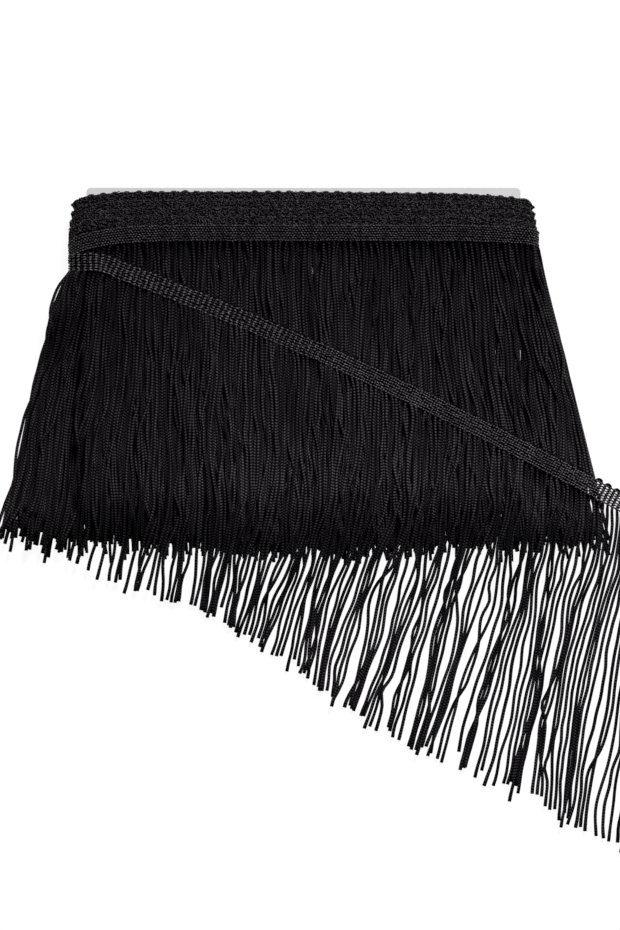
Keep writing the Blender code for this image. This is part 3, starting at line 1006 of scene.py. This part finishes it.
LOOSE_STEP = 0.0014
LOOSE_STEEPEST = 0.28
RESTS_AT = 0.42  # where it rests, up and down from its middle, as a share of its height
loose_x = np.arange(-EDGE_X, LOOSE_END, LOOSE_STEP)
loose_y = loose_level(loose_x)
direction = unit(np.stack([np.gradient(loose_x), np.gradient(loose_y)], axis=1))
down_x, down_y = direction[:, 1], -direction[:, 0]
edges = []
for place in (-RESTS_AT, 0.0, RESTS_AT):
    heights = np.array([
        pile_top(x + dx * place * LOOSE_HEIGHT, y + dy * place * LOOSE_HEIGHT)
        for x, y, dx, dy in zip(loose_x, loose_y, down_x, down_y)
    ])
    for order, before in ((range(1, heights.size), -1), (range(heights.size - 2, -1, -1), 1)):
        for k in order:
            heights[k] = max(heights[k], heights[k + before] - LOOSE_STEEPEST * LOOSE_STEP)
    edges.append(averaged(averaged(heights, 4), 4))
upper, middle, lower = edges
loose_z = np.maximum(np.maximum(middle, (upper + lower) / 2) - 0.0003, 0.0003)
slope = np.clip((lower - upper) / (2 * RESTS_AT * LOOSE_HEIGHT), -0.35, 0.35)
freed = smooth_step((loose_x + EDGE_X) / 0.018)
loose_z = np.maximum(loose_z * freed + (MIDDLE_Z + LOOSE_HIGH) * (1.0 - freed), loose_z - 0.0005)
loop_x, loop_z = side_loop(-1.0, LOOSE_OUT, LOOSE_LOW, loose_z[0] - MIDDLE_Z)
loose_line = np.concatenate([
    np.stack([loop_x, np.full(loop_x.size, RUN_LEFT), MIDDLE_Z + loop_z], axis=1)[:-1],
    np.stack([loose_x, loose_y, loose_z], axis=1),
])
loose_across = np.concatenate([
    np.tile((0.0, -1.0, 0.0), (loop_x.size - 1, 1)),
    np.stack([down_x, down_y, slope * freed], axis=1),
])
loose_route = heading_route(loose_line, LOOSE_PITCH, loose_across)
loose_length = float(loose_route["far"][-1])
ribs, pitch = loose_route["ribs"], loose_route["pitch"]

pairs = np.arange(0, ribs, 2)
leg_down = np.linspace(LOOSE_HEIGHT / 2 - 0.0004, -LOOSE_HEIGHT / 2 + 0.0011, 6)
turn_over = np.linspace(0.0, math.pi, 9)[1:-1]
rib_down = np.concatenate([leg_down, leg_down[-1] - 0.00095 * np.sin(turn_over), leg_down[::-1]])
rib_along = np.concatenate([np.full(6, -0.5), -0.5 * np.cos(turn_over), np.full(6, 0.5)])
rib_far = (pairs[:, None] + 1.0 + rib_along) * pitch + rng.normal(0.0, 0.00008, (pairs.size, 1))
rib_down = rib_down + rng.normal(0.0, 0.0001, (pairs.size, 1))
rib_place, _, _, rib_out = on_heading(loose_route, rib_far, rib_down, 0.0005)
rib_shape = tubes(rib_place, 0.00078, 0.00048, 8, rib_out, YARN_REPEAT)

rows_down = (np.arange(LOOSE_ROWS) - (LOOSE_ROWS - 1) / 2) * ROW_PITCH + 0.0002
thread_far = np.tile(np.linspace(0.0, loose_length, ribs * 4 + 1), (LOOSE_ROWS, 1))
thread_wave = 2 * math.pi * thread_far / pitch
thread_down = rows_down[:, None] + 0.00012 * np.sin(thread_wave + np.arange(LOOSE_ROWS)[:, None] * 2.0)
thread_lift = 0.00070 - 0.00030 * np.cos(thread_wave)
thread_place, _, _, thread_out = on_heading(loose_route, thread_far, thread_down, thread_lift)
thread_shape = tubes(thread_place, 0.00042, 0.00025, 5, thread_out, YARN_REPEAT)
loose_ground = add_piece("loose_heading_ribs", shaded_ground_finish, *joined(rib_shape, thread_shape))

# A copy of the stitch yarn for the loose end: glossier, and its lighter tone is painted light.
lit_loose_finish = stitches_yarn("black stitches in painted light", (0.070, 0.061, 0.073), (0.200, 0.174, 0.209), 0.45)
bead_sets = []
for row_down in rows_down:
    for place, small in ((0.5, 0.0), (0.0, 1.0)):
        far = (np.arange(ribs) + place) * pitch + rng.normal(0.0, 0.00010, ribs)
        count = far.size
        later = smooth_step((far / loose_length - 0.28) / 0.25)
        size = (1.0 - 0.10 * later) if small == 0.0 else 0.30 + 0.52 * later
        size = size * (1.0 + rng.normal(0.0, 0.06, count))
        down = row_down + rng.normal(0.0, 0.00013, count)
        tilt = rng.normal(-0.15, 0.28, count)
        lift = 0.00125 - small * 0.00045 * (1.0 - 0.6 * later)
        bead_sets.append(
            stitch_beads(loose_route, far, down, lift, tilt, (0.00092 - 0.00018 * later) * size,
                         0.00041 * size, 0.00046 * size, 8)
        )
loose_stitches = add_piece("loose_heading_stitches", lit_loose_finish, *joined(*bead_sets))
for piece in (loose_ground, loose_stitches):
    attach(piece, "root")
    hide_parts("loose_heading")

# ---- The loose end's cords -----------------------------------------
# Over the wound cords they hang nearly straight, and past the card they drop to the surface and
# slant to the left. They touch their neighbours here and there, and part again. Those at the left
# are drawn up, and those towards the right hang a little lower.
SLANT_FROM, SLANT_RUN = -0.066, 0.036  # the level where they come off the pile, and the run
roots = on_heading(
    loose_route, (np.arange(ribs) + 0.5) * pitch, LOOSE_HEIGHT / 2 - 0.0010, 0.0006
)[0]
group_of, groups, rib = np.zeros(ribs, int), 0, 0
while rib < ribs:
    size = int(rng.choice([1, 2, 3], p=[0.35, 0.40, 0.25]))
    group_of[rib : rib + size] = groups
    groups += 1
    rib += size
group_pull = rng.uniform(0.0, 0.2, groups)
group_lean = rng.normal(0.0, 0.010, groups)
loose_paths = []
for rib in rng.permutation(ribs):
    root = roots[rib]
    mates = roots[group_of == group_of[rib]]
    toward = (mates[:, 0].mean() - root[0]) * group_pull[group_of[rib]]
    lean = rng.normal(0.02, 0.015)
    off_lean = np.interp(root[0], (-0.10, -0.03, 0.0, 0.06, 0.09, 0.125),
                         (0.20, 0.21, 0.26, 0.31, 0.28, 0.18))
    off_lean += group_lean[group_of[rib]] + rng.normal(0.0, 0.010)
    past_side = smooth_step((root[0] - 0.100) / 0.030)
    wave = own_wave(0.00065, 0.8)
    reach = fan_reach(root[0]) if root[0] < 0 else 0.0

    def side_path(depth, y):
        off = smooth_step((SLANT_FROM - y) / SLANT_RUN)
        off = np.maximum(off, past_side * smooth_step(depth / 0.02))
        x = root[0] - np.cumsum(lean + (off_lean - lean) * off) * LEVEL
        x = x + reach * fan_spread(root[0], depth) + toward * smooth_step(depth / 0.060)
        return x + sway(root[0], TURNS, depth) + np.interp(depth, WAVE_DEPTHS, wave)

    points = lay_cord(root, side_path, True, TURNS)
    longer = np.interp(root[0], (-0.105, -0.088, 0.0, 0.05, 0.09, 0.13),
                       (-0.012, 0.0012, 0.0012, 0.0117, 0.0127, 0.0090))
    length = CORD_LENGTH + longer + rng.normal(0.0, 0.0020) * (3.5 if rng.random() < 0.06 else 1.0)
    loose_paths.append(cut_to(points, length, 51))
loose_cords = cords_piece("loose_heading_cords", loose_paths, 8, 1.04)
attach(loose_cords, "root")
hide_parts("loose_fringe")
